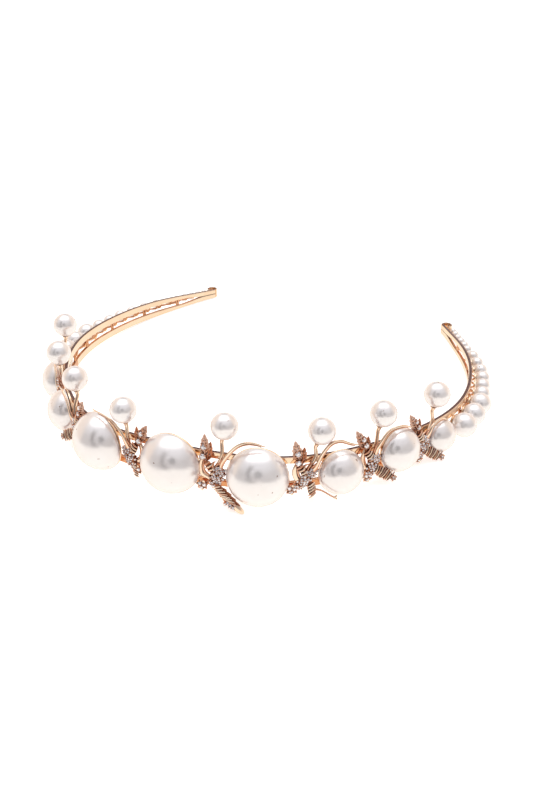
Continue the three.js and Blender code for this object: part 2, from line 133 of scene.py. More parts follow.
def smoothstep(x, low, high):
    t = np.clip((x - low) / (high - low), 0, 1)
    return t * t * (3 - 2 * t)


def catmull(values, t):
    """A smooth curve through evenly spaced values, at t from 0 to 1."""
    values = floats(values)
    last = len(values) - 1
    p = np.clip(floats(t), 0, 1) * last
    i = np.minimum(np.floor(p).astype(int), last)
    f = p - i
    if values.ndim > 1:
        f = f[:, None]
    p0 = values[np.maximum(i - 1, 0)]
    p1 = values[i]
    p2 = values[np.minimum(i + 1, last)]
    p3 = values[np.minimum(i + 2, last)]
    v0, v1 = (p2 - p0) / 2, (p3 - p1) / 2
    return (2 * p1 - 2 * p2 + v0 + v1) * f**3 + (3 * p2 - 3 * p1 - 2 * v0 - v1) * f**2 + v0 * f + p1


KNOT_RADII = PLAN_RADII[:0:-1] + PLAN_RADII
KNOT_SPAN = (len(PLAN_RADII) - 1) * KNOT_STEP


def plan(t):
    degrees = (2 * floats(t) - 1) * END_ANGLE
    radius = catmull(KNOT_RADII, (degrees + KNOT_SPAN) / (2 * KNOT_SPAN))
    angle = np.radians(degrees)
    return np.stack([radius * np.sin(angle), -radius * np.cos(angle)], -1)


ARC_T = np.linspace(0, 1, ARC_DIVISIONS + 1)
ARC_POINTS = plan(ARC_T)
ARC_LENGTHS = np.concatenate([[0], np.cumsum(np.linalg.norm(np.diff(ARC_POINTS, axis=0), axis=1))])
HALF_ARC = ARC_LENGTHS[-1] / 2


def frames(s):
    """Point, tangent and outward direction of the band at each arc length."""
    s = floats(s)
    u = np.clip(0.5 + s / (2 * HALF_ARC), 0, 1)
    t = np.interp(u * 2 * HALF_ARC, ARC_LENGTHS, ARC_T)
    tangent = plan(np.clip(t + 1e-4, 0, 1)) - plan(np.clip(t - 1e-4, 0, 1))
    tangent /= np.linalg.norm(tangent, axis=-1, keepdims=True)
    past = s - (2 * u - 1) * HALF_ARC
    point = plan(t) + tangent * past[..., None]
    outward = np.stack([tangent[..., 1], -tangent[..., 0]], -1)
    return point, tangent, outward


def bend(points):
    """Band coordinates to plan millimetres."""
    points = floats(points)
    point, _, outward = frames(points[:, 0])
    flat = point + outward * points[:, 1:2]
    return np.column_stack([flat, points[:, 2]])


def half_height(s):
    s = np.abs(s)
    return FRONT_HALF_HEIGHT - HEIGHT_TAPER * s - TIP_DROP * smoothstep(s, HALF_ARC - TIP_RUN, HALF_ARC)


def slot_half(s):
    s = np.abs(s)
    opened = SIDE_SLOT_HALF + FRONT_SLOT_EXTRA * np.exp(-((s / SLOT_FADE) ** 2))
    closing = smoothstep(s, SLOT_END - SLOT_CLOSING, SLOT_END)
    return opened + (FINE_GAP / 2 - opened) * closing


def rest_pitch():
    """How far the tiara leans back, on its lowest front pearl and its tips."""
    arc, diameter, lift, _ = FRONT_PEARLS[5]
    depth = bend([[arc, DOME_BASE, 0]])[0, 1]
    height = lift - diameter / 2
    s = np.arange(HALF_ARC / 2, HALF_ARC, 1.0)
    rear = bend(np.column_stack([s, 0 * s, -half_height(s)]))
    return float(np.min(np.arctan2(rear[:, 2] - height, rear[:, 1] - depth)))


PITCH = rest_pitch()
TILT = np.array([
    [1, 0, 0],
    [0, cos(PITCH), sin(PITCH)],
    [0, -sin(PITCH), cos(PITCH)],
])


def rail_origin():
    """Where the band's own origin is in the frame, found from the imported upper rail's box."""
    reach = HALF_ARC - HOOK_STRIP
    s = np.linspace(-reach, reach, CAD_RAIL_STEPS + 1)
    corners = []
    for w in (-BAND_HALF, BAND_HALF):
        for edge in (slot_half, half_height):
            corners.append(np.column_stack([s, 0 * s + w, edge(s)]))
    predicted = (bend(np.concatenate(corners)) @ TILT.T).min(0)
    return np.array(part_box("upper_rail")[0]) * 1000 - predicted


ORIGIN = rail_origin()


def to_frame(points):
    """Plan millimetres to the frame's metres."""
    return (np.asarray(points) @ TILT.T + ORIGIN) / 1000


# ---------- shapes: each is (vertices, faces) ----------

UP = (0, 0, 1)
CORNER_STEPS = 3


def rounded_box(half_x, half_y, radius):
    """Section of a strip with rounded corners."""
    points = []
    for cx, cy, start in ((1, 1, 0), (-1, 1, 90), (-1, -1, 180), (1, -1, 270)):
        for k in range(CORNER_STEPS + 1):
            a = radians(start + 90 * k / CORNER_STEPS)
            x = cx * (half_x - radius) + radius * cos(a)
            points.append((x, cy * (half_y - radius) + radius * sin(a)))
    return np.array(points)


def circle(sides):
    a = np.arange(sides) * 2 * pi / sides
    return np.column_stack([np.cos(a), np.sin(a)])


def sweep(centres, side, up, sections):
    """A section carried along a path. sections is one section, or one for each point of the path."""
    centres = floats(centres)
    count = len(centres)
    sections = floats(sections)
    if sections.ndim == 2:
        sections = np.repeat(sections[None], count, 0)
    side = np.broadcast_to(floats(side), (count, 3))
    up = np.broadcast_to(floats(up), (count, 3))
    verts = centres[:, None] + sections[..., :1] * side[:, None] + sections[..., 1:] * up[:, None]
    ring = sections.shape[1]
    faces = []
    for i in range(count - 1):
        a, b = i * ring, (i + 1) * ring
        for j in range(ring):
            k = (j + 1) % ring
            faces.append((a + j, a + k, b + k, b + j))
    faces.append(tuple(range(ring)))
    faces.append(tuple(range((count - 1) * ring, count * ring)))
    return verts.reshape(-1, 3), faces


def unit(v):
    v = floats(v)
    return v / np.linalg.norm(v, axis=-1, keepdims=True)


# the rings of a tube's rounded cap and the smallest that a ring may be, as shares of the tube's radius
CAP_RINGS = [0.0, 0.5, 0.86]
CAP_TIP = 0.12


def cap(middle, ahead, radius):
    """The rings that round off one end of a tube, widest last."""
    rings = []
    for e in CAP_RINGS:
        rings.append((middle + ahead * radius * sqrt(1 - e * e), radius * max(e, CAP_TIP)))
    return rings


def tube(points, radius, steps, sides, flat=1.0, reference=(0, 1, 0)):
    """A round or flattened wire with rounded ends. radius is one value, or several spread along it."""
    t = np.linspace(0, 1, steps + 1)
    path = catmull(points, t)
    radii = catmull(radius, t) if np.size(radius) > 1 else np.full(len(t), float(radius))
    tangent = unit(np.gradient(path, axis=0))
    head = [(p, r, tangent[0]) for p, r in cap(path[0], -tangent[0], radii[0])]
    tail = [(p, r, tangent[-1]) for p, r in reversed(cap(path[-1], tangent[-1], radii[-1]))]
    rows = head + list(zip(path, radii, tangent)) + tail
    centres, sizes, along = (np.array(column) for column in zip(*rows))
    reference = floats(reference)
    up = unit(reference - along * (along @ reference)[:, None])
    side = np.cross(along, up)
    section = circle(sides) * np.array([1.0, flat])
    return sweep(centres, side, up, sizes[:, None, None] * section[None])


def lathe(profile, sides):
    """A turned shape round +Z from (radius, height) pairs. Ends at radius 0 are closed to a point."""
    verts, rings = [], []
    turn = circle(sides)
    for radius, height in profile:
        start = len(verts)
        if radius < 1e-9:
            verts.append((0, 0, height))
            rings.append([start] * sides)
        else:
            verts.extend((radius * c, radius * d, height) for c, d in turn)
            rings.append(list(range(start, start + sides)))
    faces = []
    for low, high in zip(rings, rings[1:]):
        for j in range(sides):
            k = (j + 1) % sides
            corners = [low[j], low[k], high[k], high[j]]
            face = tuple(dict.fromkeys(corners))
            if len(face) > 2:
                faces.append(face)
    return np.array(verts, float), faces


def square_to(axis):
    """Two directions square to an axis and to each other."""
    helper = np.array([0, 0, 1.0]) if abs(axis[2]) < 0.9 else np.array([1.0, 0, 0])
    x = unit(np.cross(helper, axis))
    return x, np.cross(axis, x)


def moved(shape, centre, axis=(0, 1, 0), spin=0.0, scale=1.0):
    """A shape round +Z turned to stand along axis, in band coordinates."""
    verts, faces = shape
    axis = unit(axis)
    x, y = square_to(axis)
    c, d = cos(spin), sin(spin)
    x, y = x * c + y * d, y * c - x * d
    return np.asarray(verts) * scale @ np.array([x, y, axis]) + floats(centre), faces


def bent(shape):
    return bend(shape[0]), shape[1]


def facing_out(shape, s, w, z, turn=0.0):
    """A shape round +Z set to face outwards from the band at s, rigid, in plan millimetres."""
    verts, faces = shape
    a = radians(turn)
    turned = np.array([[cos(a), 0, -sin(a)], [0, 1, 0], [sin(a), 0, cos(a)]])
    verts = np.asarray(verts) @ turned
    point, tangent, outward = (v[0] for v in frames([s]))
    basis = np.array([[tangent[0], tangent[1], 0], [0, 0, 1], [outward[0], outward[1], 0]])
    place = np.array([point[0] + outward[0] * w, point[1] + outward[1] * w, z])
    return verts @ basis + place, faces


def ball(radius, sides, rings):
    a = np.linspace(-pi / 2, pi / 2, rings)
    profile = [(max(radius * cos(x), 0), radius * sin(x)) for x in a]
    profile[0] = (0, -radius)
    profile[-1] = (0, radius)
    return lathe(profile, sides)


def cut_ball(radius, cut, ratio, rings, sides, edge):
    """A ball cut flat behind its centre, the cut's edge rounded. Its flat face is at height 0."""
    start = asin(-cut)
    flat = radius * cos(start)
    profile = [(0, 0), (flat - 1.6 * edge, 0), (flat - edge, 0.04 * edge), (flat - 0.3 * edge, 0.32 * edge)]
    for angle in np.linspace(start, pi / 2, rings):
        height = radius * ratio * (sin(angle) + cut)
        if height > 0.9 * edge:
            profile.append((radius * cos(angle), height))
    profile[-1] = (0, radius * ratio * (1 + cut))
    return lathe(profile, sides)


def plate(radius, thickness, sides, bevel=0.14):
    """A round plate with its edges rounded."""
    b = bevel
    profile = [(0, 0), (radius - b, 0), (radius - 0.3 * b, 0.3 * b), (radius, b)]
    profile += [(radius, thickness - b), (radius - 0.3 * b, thickness - 0.3 * b), (radius - b, thickness)]
    profile += [(0, thickness)]
    return lathe(profile, sides)


def gem():
    """A cut stone of radius 1 round +Z: table, crown facets, girdle and a pavilion below."""
    verts = []

    def ring(count, radius, height, turn):
        start = len(verts)
        for k in range(count):
            a = 2 * pi * (k + turn) / count
            verts.append((radius * cos(a), radius * sin(a), height))
        return [start + k for k in range(count)]

    table = ring(8, 0.56, 0.36, 0)
    star = ring(8, 0.8, 0.22, 0.5)
    top = ring(8, 1.0, 0.04, 0)
    low = ring(8, 1.0, -0.04, 0)
    deep = ring(8, 0.5, -0.42, 0.5)
    verts.append((0, 0, -0.75))
    culet = len(verts) - 1
    faces = [tuple(table)]
    for k in range(8):
        n = (k + 1) % 8
        faces += [(table[k], star[k], table[n]), (table[n], star[k], top[n])]
        faces += [(star[k], top[k], top[n]), (star[k], table[k], top[k])]
        faces += [(top[k], low[k], low[n], top[n]), (low[k], deep[k], low[n])]
        faces += [(deep[k], low[n], deep[n]), (deep[k], deep[n], culet)]
    return np.array(verts, float), faces


GEM = gem()


def leaf_lines(foot, tip):
    """A leaf's foot and length, and its directions along, outwards and across."""
    foot = floats(foot)
    along = floats(tip) - foot
    length = np.linalg.norm(along)
    along = along / length
    face = unit(np.array([0, 1.0, 0]) - along * along[1])
    return foot, length, along, face, np.cross(along, face)


def blade(foot, tip, width, thick, fold, teeth, bow, steps, blunt=0.0, across=6):
    """A leaf from foot to tip whose two halves slope from a raised midrib, its edges toothed if asked."""
    foot, length, along, face, sideways = leaf_lines(foot, tip)
    u = np.linspace(0, 1, steps + 1)
    outline = (np.maximum(u, 0.02) ** 0.55) * (1 - u) ** 0.8
    outline = outline / outline.max() + blunt * np.sin(pi * u) ** 0.3
    outline = np.maximum(outline / outline.max(), 0.16 * (1 - u) + 0.05)
    if teeth:
        outline = outline * (0.8 + 0.28 * ((u * teeth) % 1.0))
    half = width / 2 * outline
    v = np.linspace(-1, 1, across + 1)
    top = thick / 2 + fold * (1 - np.abs(v)) ** 1.2 - fold / 2
    sections = []
    for h in half:
        lean = np.clip(h / (width / 2), 0.25, 1)
        upper = np.column_stack([v * h, top * lean])
        lower = np.column_stack([v[::-1] * h * 0.92, np.full(across + 1, -thick / 2) * lean])
        sections.append(np.concatenate([upper, lower]))
    rise = bow * np.sin(pi * u / 2) ** 2
    centres = foot + np.outer(u * length, along) + np.outer(rise, face)
    return sweep(centres, sideways, face, np.array(sections))


def mound(centre, radius, height, sides=20, rings=6):
    """A low round heap standing out from the band."""
    angles = np.linspace(0, pi / 2, rings + 1)[:-1]
    profile = [(0, -0.2)] + [(radius * cos(a), height * sin(a)) for a in angles] + [(0, height)]
    return moved(lathe(profile, sides), centre)


# ---------- pieces ----------


def put(name, data):
    """Makes an object and puts it in the scene."""
    made = bpy.data.objects.new(name, data)
    bpy.context.scene.collection.objects.link(made)
    return made


class Piece:
    """One Blender object, put together from shapes in plan millimetres."""

    def __init__(self, name):
        self.name = name
        self.verts = []
        self.faces = []
        self.looks = []
        self.count = 0

    def add(self, shape, look=0):
        verts, faces = shape
        start = self.count
        self.verts.append(floats(verts))
        self.faces.extend(tuple(start + i for i in face) for face in faces)
        self.looks.extend([look] * len(faces))
        self.count += len(verts)

    def lay(self, shape, look=0):
        """Adds a shape given in band coordinates."""
        self.add(bent(shape), look)

    def build(self, materials, nodes=(), sharp=40.0):
        mesh = bpy.data.meshes.new(self.name)
        verts = to_frame(np.concatenate(self.verts))
        mesh.from_pydata(verts.tolist(), [], self.faces)
        for material in materials:
            mesh.materials.append(material)
        mesh.polygons.foreach_set("material_index", self.looks)
        work = bmesh.new()
        work.from_mesh(mesh)
        bmesh.ops.recalc_face_normals(work, faces=work.faces)
        limit = radians(sharp)
        for face in work.faces:
            face.smooth = sharp > 0
        for edge in work.edges:
            edge.smooth = not (len(edge.link_faces) == 2 and edge.calc_face_angle(0) > limit)
        work.to_mesh(mesh)
        work.free()
        obj = put(self.name, mesh)
        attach(obj, "root")
        if nodes:
            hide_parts(*nodes)


# ---------- materials ----------


def give(node, values):
    """Sets a node's inputs by their names."""
    for key, value in values.items():
        node.inputs[key].default_value = value


def mix(nodes, links, factor, first, second):
    """Two colours mixed by a factor. Each colour is three numbers or another node's output."""
    node = nodes.new("ShaderNodeMix")
    node.data_type = "RGBA"
    links.new(factor, node.inputs["Factor"])
    for socket, colour in ((6, first), (7, second)):
        if isinstance(colour, tuple):
            node.inputs[socket].default_value = (*colour, 1)
        else:
            links.new(colour, node.inputs[socket])
    return node.outputs[2]


def new_material(name):
    material = bpy.data.materials.new(name)
    material.use_nodes = True
    nodes, links = material.node_tree.nodes, material.node_tree.links
    shader = nodes["Principled BSDF"]
    place = nodes.new("ShaderNodeTexCoord")

    def noise(scale, detail=2.0, rough=0.5):
        node = nodes.new("ShaderNodeTexNoise")
        give(node, {"Scale": scale, "Detail": detail, "Roughness": rough})
        links.new(place.outputs["Object"], node.inputs["Vector"])
        return node.outputs["Fac"]

    def spread(value, low, high, to_low, to_high):
        node = nodes.new("ShaderNodeMapRange")
        give(node, {"From Min": low, "From Max": high, "To Min": to_low, "To Max": to_high})
        links.new(value, node.inputs["Value"])
        return node.outputs["Result"]

    def blend(factor, first, second):
        return mix(nodes, links, factor, first, second)

    def bump(value, strength, distance):
        node = nodes.new("ShaderNodeBump")
        give(node, {"Strength": strength, "Distance": distance})
        links.new(value, node.inputs["Height"])
        links.new(node.outputs["Normal"], shader.inputs["Normal"])

    return material, shader, links, noise, spread, blend, bump


def gilt(name, bright, deep, smooth, worn, grain, crevice_shade=None, depth=0.0009):
    """Rose-gold plating: uneven colour, a fine grain, worn patches, and painted shade that darkens its
    crevices towards a crevice colour, if one is given.
    """
    material, shader, links, noise, spread, blend, bump = new_material(name)
    shader.inputs["Metallic"].default_value = 1.0
    tone = spread(noise(140, 3), 0.35, 0.7, 0, 1)
    colour = blend(tone, bright, deep)
    if crevice_shade:
        # ambient occlusion blends the colour towards the crevice colour in crevices: painted shade
        shade = material.node_tree.nodes.new("ShaderNodeAmbientOcclusion")
        shade.samples = 6
        shade.inputs["Distance"].default_value = depth
        colour = blend(spread(shade.outputs["AO"], 0.3, 0.85, 0, 1), crevice_shade, colour)
    links.new(colour, shader.inputs["Base Color"])
    links.new(spread(noise(520, 4), 0.35, 0.7, smooth, worn), shader.inputs["Roughness"])
    bump(noise(2600, 3), grain, 0.00002)
    return material


def pearl(name, light, warm, share):
    """Imitation pearl: a nacre coat with a soft mirror in it, faint warmth in patches and a few specks."""
    material, shader, links, noise, spread, blend, bump = new_material(name)
    give(shader, {"Metallic": share, "Specular Tint": (1.0, 0.8, 0.66, 1)})
    give(shader, {"Coat Weight": 0.3, "Coat Roughness": 0.12, "Coat IOR": 1.5})
    tone = spread(noise(95, 2), 0.35, 0.68, 0, 1)
    body = blend(tone, light, warm)
    speck = spread(noise(760, 1, 0.3), 0.775, 0.8, 0, 1)
    links.new(blend(speck, body, (0.32, 0.2, 0.14)), shader.inputs["Base Color"])
    links.new(spread(noise(300, 3), 0.3, 0.7, 0.16, 0.24), shader.inputs["Roughness"])
    bump(noise(420, 2), 0.05, 0.00003)
    return material


def crystal(name):
    """Foil-backed cut stone: nearly mirror-bright facets with a little depth of tone between them."""
    material, shader, links, noise, spread, blend, bump = new_material(name)
    give(shader, {"Metallic": 0.8, "Coat Weight": 1.0, "Coat Roughness": 0.01, "Coat IOR": 1.7})
    tone = spread(noise(900, 2), 0.38, 0.62, 0, 1)
    links.new(blend(tone, (0.92, 0.92, 0.96), (0.5, 0.47, 0.5)), shader.inputs["Base Color"])
    links.new(spread(noise(1500, 1), 0.3, 0.7, 0.02, 0.06), shader.inputs["Roughness"])
    bump(noise(1900, 1), 0.12, 0.00003)
    return material


GILT = gilt("gilt_band", (0.94, 0.735, 0.545), (0.9, 0.67, 0.48), 0.08, 0.16, 0.04)
# dark brown for the upper rail's and the end loops' top and bottom faces: a painted reflection of the dark
# surroundings
GILT_EDGE_REFLECTION = gilt("gilt_edge_reflection", (0.2, 0.1, 0.09), (0.15, 0.07, 0.06), 0.2, 0.32, 0.08)
GILT_WIRE = gilt("gilt_wire", (0.86, 0.48, 0.28), (0.6, 0.27, 0.12), 0.14, 0.26, 0.12, (0.34, 0.1, 0.04))
GILT_CAST = gilt("gilt_casting", (0.87, 0.54, 0.385), (0.67, 0.32, 0.19), 0.14, 0.3, 0.3,
                 (0.27, 0.07, 0.03), 0.0013)
# darker copper gold for blades under ribs, flower hearts and other backing parts: painted shade
GILT_RECESS_SHADE = gilt("gilt_recess_shade", (0.62, 0.27, 0.15), (0.42, 0.14, 0.065), 0.22, 0.4, 0.5, (0.26, 0.07, 0.03))
# light cream gold for ribs, stems, tendrils, stalks and every other petal or claw: a painted highlight
GILT_HIGHLIGHT = gilt("gilt_highlight", (0.99, 0.82, 0.66), (0.94, 0.69, 0.51), 0.1, 0.2, 0.1,
                   (0.36, 0.11, 0.05), 0.0011)
# orange copper gold for the lower rail's front sides: painted shade
GILT_FRONT_SHADE = gilt("gilt_shaded", (0.76, 0.38, 0.19), (0.66, 0.29, 0.13), 0.1, 0.2, 0.05)
# greyish brown gold for the top leaves and some ribs: painted shade
GILT_SHADE_BROWN = gilt("gilt_shade_brown", (0.66, 0.45, 0.37), (0.48, 0.28, 0.21), 0.2, 0.36, 0.3,
                    (0.2, 0.07, 0.04))
PEARL = pearl("nacre", (0.95, 0.93, 0.925), (0.95, 0.915, 0.9), 0.5)
CRYSTAL = crystal("crystal")

# ---------- band ----------


RAIL_CORNER = 0.17


def rail(side):
    reach = HALF_ARC - HOOK_STRIP
    s = np.linspace(-reach, reach, RAIL_STEPS)
    low, high = slot_half(s), half_height(s)
    centres = np.column_stack([s, 0 * s, side * (low + high) / 2])
    sections = np.array([rounded_box(BAND_HALF, tall / 2, RAIL_CORNER) for tall in high - low])
    return bent(sweep(centres, (0, 1, 0), UP, sections))


# plan depth forward of which the lower rail's sides get painted shade, standing in for the shade of the
# sprigs
SHADED_DEPTH = -25.0
# above which levelness a face counts as an edge, and below which as a side
LEVEL = 0.75
SIDEWAYS = 0.5
# a strip's materials: its sides, its edges, and its sides with painted shade
PLAIN, EDGE, SHADED = 0, 1, 2


def levelness(verts, face):
    """1 for a face that faces straight up or down, 0 for one that faces sideways."""
    a, b, c = (verts[i] for i in face[:3])
    normal = np.cross(b - a, c - a)
    return abs(normal[2]) / np.linalg.norm(normal)


def facing_up(shape):
    """For each face of a shape in plan millimetres, EDGE where it faces up or down, else PLAIN."""
    verts, faces = shape
    return [EDGE if levelness(verts, face) > LEVEL else PLAIN for face in faces]


def shaded_front(looks, shape):
    """Marks the plain faces at the front of the band, on its inside as well as its outside, for painted
    shade.
    """
    verts, faces = shape
    for n, face in enumerate(faces):
        forward = verts[list(face)].mean(0)[1] < SHADED_DEPTH
        if looks[n] == PLAIN and levelness(verts, face) < SIDEWAYS and forward:
            looks[n] = SHADED
    return looks


# the upper rail's top and bottom faces take the dark-brown painted reflection; the lower rail's front sides
# take painted shade
for name, side, edge in (("upper_rail", 1, GILT_EDGE_REFLECTION), ("lower_rail", -1, GILT_WIRE)):
    piece = Piece(name + "_strip")
    shape = rail(side)
    piece.add(shape)
    piece.looks = facing_up(shape)
    if side < 0:
        piece.looks = shaded_front(piece.looks, shape)
    piece.build([GILT, edge, GILT_FRONT_SHADE], [name])


def end_hook(side):
    """The folded end: the strip turns outwards past the tip and comes back as a hook."""
    start = HALF_ARC - HOOK_STRIP + GAP
    line = catmull(HOOK_KNOTS, np.linspace(0, 1, 57)) + np.array([start, 0])
    ahead = unit(np.gradient(line, axis=0))
    centres = np.column_stack([side * line[:, 0], line[:, 1], 0 * line[:, 0]])
    outward = np.column_stack([side * ahead[:, 1], -ahead[:, 0], 0 * line[:, 0]])
    section = rounded_box(HOOK_STRIP / 2, HOOK_HEIGHT / 2, 0.14)
    return bent(sweep(centres, outward, UP, section))


# ---------- rows of pearls ----------


def row_places(pearls):
    """The arc and radius of each pearl of a row, and the offset of its flat back."""
    places = []
    for arc, diameter, reach in pearls:
        radius = diameter / 2
        places.append((arc, radius, reach - radius - ROW_CUT * radius))
    return places


def row_cup(arc, radius, back, side):
    """A small dished plate behind the pearl."""
    rim = ROW_CUP_SHARE * radius
    thick = CUP_THICKNESS
    profile = [(0, 0), (rim - 0.25, 0), (rim - 0.06, 0.08), (rim, 0.24), (rim, thick - 0.05)]
    profile += [(rim - 0.06, thick), (0, thick)]
    return facing_out(lathe(profile, 40), side * arc, back - FINE_GAP - thick, 0)


for side_name, side in (("left", -1), ("right", 1)):
    places = row_places(ROW_PEARLS)
    for i, (arc, radius, back) in enumerate(places):
        piece = Piece(f"{side_name}_row_pearl_{i + 1}_nacre")
        piece.add(facing_out(cut_ball(radius, ROW_CUT, 1, 36, 64, 0.12), side * arc, back, 0))
        piece.build([PEARL], [f"{side_name}_row_pearl_{i + 1}"])

    gallery = Piece(f"{side_name}_gallery_wires")
    behind = [[side * arc, back - FINE_GAP - CUP_THICKNESS / 2, 0] for arc, radius, back in places]
    for arc, radius, back in places:
        gallery.add(row_cup(arc, radius, back, side))
    for a, b in zip(behind, behind[1:]):
        dip = [(a[0] + b[0]) / 2, 0, 0]
        for end in (a, b):
            way = [[end[0], end[1], 0.0], [(2 * end[0] + dip[0]) / 3, end[1] * 0.8, 0], dip]
            gallery.lay(tube(way, [0.3, 0.32, 0.38], 8, 10, reference=UP), 1)
    for arc in POST_ARCS:
        nearest = min(behind, key=lambda p: abs(abs(p[0]) - arc))
        tall = float(slot_half(arc)) - FINE_GAP / 2
        for shift in (-0.42, 0.42):
            ends = [[side * arc + shift, 0, tall * k] for k in (-1, 0, 1)]
            gallery.lay(tube(ends, [0.4, 0.26, 0.4], 10, 12), 1)
        gallery.lay(tube([[side * arc, 0, 0], nearest], 0.36, 6, 10, reference=UP), 1)
        gallery.lay(moved(ball(0.55, 14, 9), (side * arc, 0, 0)), 1)
    gallery.build([GILT, GILT_WIRE], [f"{side_name}_gallery"])

    seeds = Piece(f"{side_name}_seed_pearls_nacre")
    setting = Piece(f"{side_name}_seed_setting")
    seed_places = row_places(SEED_PEARLS)
    for arc, radius, back in seed_places:
        seeds.add(facing_out(cut_ball(radius, ROW_CUT, 1, 28, 40, 0.1), side * arc, back, 0))
        flat = radius * sqrt(1 - ROW_CUT * ROW_CUT)
        setting.add(facing_out(plate(flat * 0.8, 0.22, 28, 0.06), side * arc, back - 0.24, 0))
    centre_line = [[side * arc, back + radius * ROW_CUT, 0] for arc, radius, back in seed_places]
    seeds.lay(tube(centre_line, 0.5, 30, 12, reference=UP))
    seeds.build([PEARL], [f"{side_name}_seed_pearls"])
    back_line = [[side * arc, back - 0.2, 0] for arc, radius, back in seed_places]
    setting.lay(tube(back_line, 0.3, 30, 8, reference=UP), 1)
    setting.build([GILT, GILT_WIRE])

    hook = Piece(f"{side_name}_end_loop_strip")
    shape = end_hook(side)
    hook.add(shape)
    hook.looks = facing_up(shape)
    # its top and bottom faces take the dark-brown painted reflection
    hook.build([GILT, GILT_EDGE_REFLECTION], [f"{side_name}_end_loop"])

# ---------- front pearls ----------

for i, (arc, diameter, lift, turn) in enumerate(FRONT_PEARLS):
    radius = diameter / 2
    piece = Piece(f"front_pearl_{i + 1}_nacre")
    piece.add(facing_out(cut_ball(radius, 0, DOME_HEIGHT_RATIO, 56, 112, 0.35), arc, DOME_BASE, lift, turn))
    piece.build([PEARL], [f"front_pearl_{i + 1}"])
    cup = Piece(f"front_cup_{i + 1}_plate")
    back = DOME_BASE - GAP - CUP_THICKNESS
    cup.add(facing_out(plate(radius - GAP, CUP_THICKNESS, 72), arc, back, lift, turn))
    boss = lathe([(0, 0), (radius * 0.6, 0), (radius * 0.6, 0.5), (0, 0.5)], 32)
    cup.add(facing_out(boss, arc, back + 0.4, lift, turn))
    for z in (-1, 1):
        rail_middle = z * float(slot_half(arc) + half_height(arc)) / 2
        if abs(rail_middle - lift) < radius - 1.2:
            peg = [[arc, BAND_HALF - 0.1, rail_middle], [arc, back + 0.2, rail_middle]]
            cup.lay(tube(peg, [0.9, 0.75], 3, 14, reference=UP), 1)
    cup.build([GILT, GILT_WIRE], [f"front_cup_{i + 1}"])

# ---------- sprigs ----------


# an oblique direction, to set the claws' sections by
CLAW_REFERENCE = (0.31, 0.55, 0.77)


def set_stone(metal, stones, centre, radius, axis=(0, 1, 0), claws=3, spin=0.4):
    """A cut stone in a low collet, held by claws. Its centre is the middle of its girdle."""
    axis = unit(axis)
    stones.lay(moved(GEM, centre, axis, spin, radius))
    r = radius
    collet = [(0, -1.1 * r), (0.75 * r, -1.1 * r), (1.06 * r, -0.5 * r), (1.14 * r, -0.05 * r)]
    collet += [(1.0 * r, -0.02 * r), (0.92 * r, -0.3 * r), (0, -0.6 * r)]
    metal.lay(moved(lathe(collet, 16), centre, axis))
    x, y = square_to(axis)
    for k in range(claws):
        a = spin + 2 * pi * (k + 0.5) / claws
        out = x * cos(a) + y * sin(a)
        foot = np.asarray(centre) + out * 1.1 * r - axis * 0.45 * r
        bend_at = np.asarray(centre) + out * 1.14 * r + axis * 0.12 * r
        tip = np.asarray(centre) + out * 0.84 * r + axis * 0.36 * r
        radii = [0.16 * r + 0.05, 0.15 * r + 0.05, 0.1 * r + 0.03]
        metal.lay(tube([foot, bend_at, tip], radii, 5, 7, reference=CLAW_REFERENCE))


# the places of the four golds in a sprig's list of materials: the cast gold, a darker copper that is painted
# shade, a light gold that is a painted highlight, and a greyish brown that is painted shade; and how they
# take turns on its ribs
CAST, RECESS_SHADE, HIGHLIGHT, SHADE_BROWN = 0, 1, 2, 3
RIB_LOOKS = (HIGHLIGHT, HIGHLIGHT, HIGHLIGHT, CAST)
RIB_ARCH = 0.3


def jitter(k, spread):
    """A repeatable number between -spread and spread."""
    return spread * (2 * ((k * 0.6180339) % 1.0) - 1)


def bar(metal, centre, length, angle, radius, look, face):
    """One raised rib, square to face. angle is its direction in (along, height), in degrees."""
    a = radians(angle)
    half = np.array([cos(a), 0, sin(a)]) * length / 2
    face = floats(face)
    half[1] = -(half @ face) / face[1]
    centre = floats(centre)
    ends = [centre - half, centre + face * RIB_ARCH, centre + half]
    metal.lay(tube(ends, [radius * 0.75, radius, radius * 0.7], 8, 8, 0.9), look)


def ribs(metal, start, end, count, length, angle, radius, turn, looks=RIB_LOOKS):
    """Ribs set one after another from start to end, each turned a little from the last."""
    start, end = floats(start), floats(end)
    along = unit(end - start)
    face = unit(np.array([0, 1.0, 0]) - along * along[1])
    for k in range(count):
        t = k / max(count - 1, 1)
        size = length * (0.78 + 0.22 * sin(pi * (0.15 + 0.7 * t)) + jitter(5 * k + 2, 0.08))
        lean = angle + turn * (t - 0.5) + jitter(3 * k + 1, 5)
        bar(metal, start + (end - start) * t, size, lean, radius, looks[k % len(looks)], face)


def feather(metal, foot, tip, width, barbs, bow, looks):
    """A pointed leaf with a few deep serrations, and steep barbs laid over both its halves."""
    metal.lay(blade(foot, tip, width, 0.6, 0.3, barbs, bow, steps=8 * barbs), looks[0])
    foot, length, along, face, across = leaf_lines(foot, tip)
    halfway = foot + along * length * 0.5 + face * (0.5 + bow / 2)
    rib = [foot + face * 0.35, halfway, tip + face * (0.1 + bow)]
    metal.lay(tube(rib, [0.3, 0.24, 0.1], 14, 8), looks[0])
    for k in range(barbs):
        t = 0.04 + 0.6 * k / (barbs - 1)
        reach = 0.44 * width * (1 - t) ** 0.8
        base = foot + along * length * t + face * (0.26 + bow * t)
        for hand in (-1, 1):
            end = base + across * hand * reach + along * (1.1 * reach + 0.55) - face * 0.12
            middle = (base + end) / 2 + face * 0.14
            look = looks[(k + (hand > 0)) % 2]
            metal.lay(tube([base, middle, end], [0.22, 0.25, 0.08], 7, 8), look)


